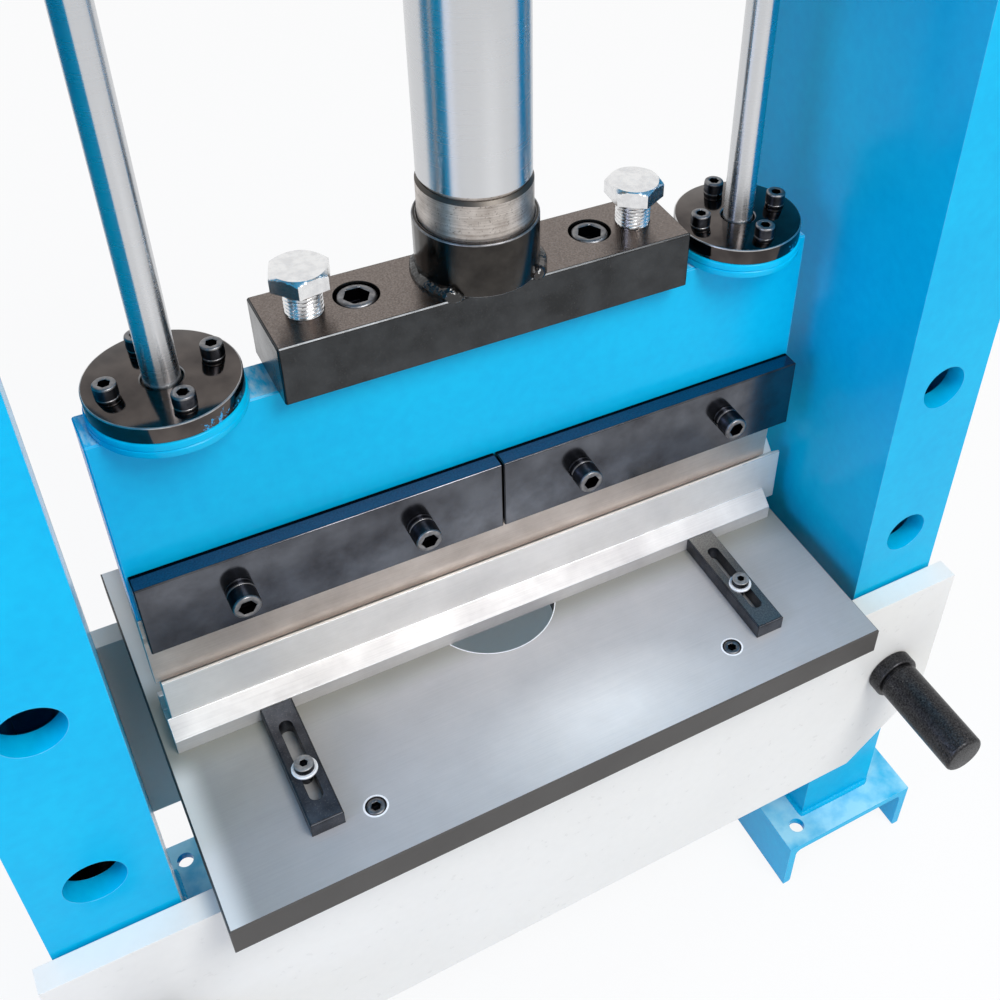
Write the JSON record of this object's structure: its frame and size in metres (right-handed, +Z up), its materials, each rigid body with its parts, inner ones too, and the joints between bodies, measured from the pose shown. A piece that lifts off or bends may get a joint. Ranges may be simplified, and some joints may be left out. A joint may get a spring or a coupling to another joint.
{
  "type": "hydraulic press brake",
  "caption": "H-frame hydraulic press brake: a guided beam clamps a punch over a V die on a pinned bed with a ground table, driven by a hand-pumped cylinder.",
  "frame": {"origin": "on the floor, midway between the uprights and in the plane of the bend line", "axes": "+X to the right along the bend, +Y to the back, +Z up"},
  "size_m": [0.8385, 0.6072, 1.2632],
  "materials": {
    "blue_paint": "glossy sprayed enamel",
    "white_paint": "satin sprayed enamel",
    "black_oxide": "oiled black oxide, satin",
    "ground_steel": "ground, satin",
    "chromed_steel": "hard chromed and polished",
    "turned_steel": "turned",
    "zinc_steel": "bright zinc plated",
    "bronze": "turned bronze",
    "dial_white": "printed dial",
    "needle_black": "matt black",
    "clear_glass": "clear",
    "grip_rubber": "moulded, matt"
  },
  "bodies": {
    "frame": {"upright_left": "blue_paint", "upright_right": "blue_paint", "feet": "blue_paint", "base_tie": "blue_paint", "crosshead_plates": "blue_paint", "cylinder_seat": "blue_paint", "crosshead_ribs": "blue_paint", "cylinder_barrel": "blue_paint", "cylinder_cap": "blue_paint", "ring_nut": "blue_paint", "pump_bracket": "blue_paint", "oil_tank": "blue_paint", "bed_plate_front": "white_paint", "bed_plate_rear": "white_paint", "bed_webs": "white_paint", "table_screws": "black_oxide", "gauge_case": "black_oxide", "pump_block": "black_oxide", "valve_body": "black_oxide", "bed_table": "ground_steel", "die_base": "ground_steel", "v_die": "ground_steel", "lever_pivot": "turned_steel", "stop_fasteners": "zinc_steel", "crosshead_fasteners": "zinc_steel", "port_fittings": "zinc_steel", "guide_bushes": "bronze", "cylinder_gland": "bronze", "gauge_dial": "dial_white", "gauge_glass": "clear_glass"},
    "press_beam": {"ram": "chromed_steel", "piston": "turned_steel", "ram_nose": "turned_steel", "ram_cup": "black_oxide", "adapter_block": "black_oxide", "block_screws": "black_oxide", "beam": "blue_paint", "guide_bosses": "blue_paint", "guide_flanges": "black_oxide", "flange_screws": "black_oxide", "guide_rods": "chromed_steel", "front_clamp_left": "black_oxide", "front_clamp_right": "black_oxide", "rear_clamps": "black_oxide", "clamp_screws": "black_oxide", "punch": "ground_steel"},
    "jack_bolt_left": {"jack_bolt_left": "zinc_steel"},
    "jack_bolt_right": {"jack_bolt_right": "zinc_steel"},
    "bed_pin_left": {"bed_pin_left": "black_oxide"},
    "bed_pin_right": {"bed_pin_right": "black_oxide"},
    "gauge_needle": {"gauge_needle": "needle_black"},
    "pump_lever": {"pump_lever": "turned_steel", "pump_handle": "zinc_steel", "handle_grip": "grip_rubber"},
    "pump_plunger": {"pump_plunger": "chromed_steel"},
    "valve_handle": {"valve_handle": "zinc_steel"},
    "stop_bar_front_left": {"stop_bar_front_left": "black_oxide"},
    "stop_bar_front_right": {"stop_bar_front_right": "black_oxide"},
    "stop_bar_rear_left": {"stop_bar_rear_left": "black_oxide"},
    "stop_bar_rear_right": {"stop_bar_rear_right": "black_oxide"}
  },
  "joints": [
    {"name": "press_stroke", "type": "slide", "parent": "frame", "child": "press_beam", "axis": [0, 0, 1], "range_m": [0, 0.15]},
    {"name": "jack_bolt_left_turn", "type": "hinge", "parent": "press_beam", "child": "jack_bolt_left", "pos_m": [-0.106, 0, 0.70422], "axis": [0, 0, 1], "range_deg": [-180, 180]},
    {"name": "jack_bolt_right_turn", "type": "hinge", "parent": "press_beam", "child": "jack_bolt_right", "pos_m": [0.106, 0, 0.70422], "axis": [0, 0, 1], "range_deg": [-180, 180]},
    {"name": "bed_pin_left_draw", "type": "slide", "parent": "frame", "child": "bed_pin_left", "axis": [0, -1, 0], "range_m": [0, 0.28]},
    {"name": "bed_pin_right_draw", "type": "slide", "parent": "frame", "child": "bed_pin_right", "axis": [0, -1, 0], "range_m": [0, 0.28]},
    {"name": "gauge_reading", "type": "hinge", "parent": "frame", "child": "gauge_needle", "pos_m": [0.185, -0.15, 1.06622], "axis": [0, 1, 0], "range_deg": [0, 270], "stiffness_Nm_per_rad": 0.002},
    {"name": "pump_stroke", "type": "hinge", "parent": "frame", "child": "pump_lever", "pos_m": [0.409, 0.033, 0.929], "axis": [1, 0, 0], "range_deg": [0, 40]},
    {"name": "plunger_slide", "type": "slide", "parent": "frame", "child": "pump_plunger", "axis": [0, 0, 1], "range_m": [-0.02412, 0]},
    {"name": "valve_turn", "type": "hinge", "parent": "frame", "child": "valve_handle", "pos_m": [0.409, -0.114, 0.766], "axis": [0, 1, 0], "range_deg": [-45, 45]},
    {"name": "stop_front_left_slide", "type": "slide", "parent": "frame", "child": "stop_bar_front_left", "axis": [0, -1, 0], "range_m": [0, 0.036]},
    {"name": "stop_front_right_slide", "type": "slide", "parent": "frame", "child": "stop_bar_front_right", "axis": [0, -1, 0], "range_m": [0, 0.036]},
    {"name": "stop_rear_left_slide", "type": "slide", "parent": "frame", "child": "stop_bar_rear_left", "axis": [0, 1, 0], "range_m": [0, 0.036]},
    {"name": "stop_rear_right_slide", "type": "slide", "parent": "frame", "child": "stop_bar_rear_right", "axis": [0, 1, 0], "range_m": [0, 0.036]}
  ],
  "couplings": [
    {"joint": "plunger_slide", "follows": "pump_stroke", "m_per_rad": -0.034409}
  ]
}
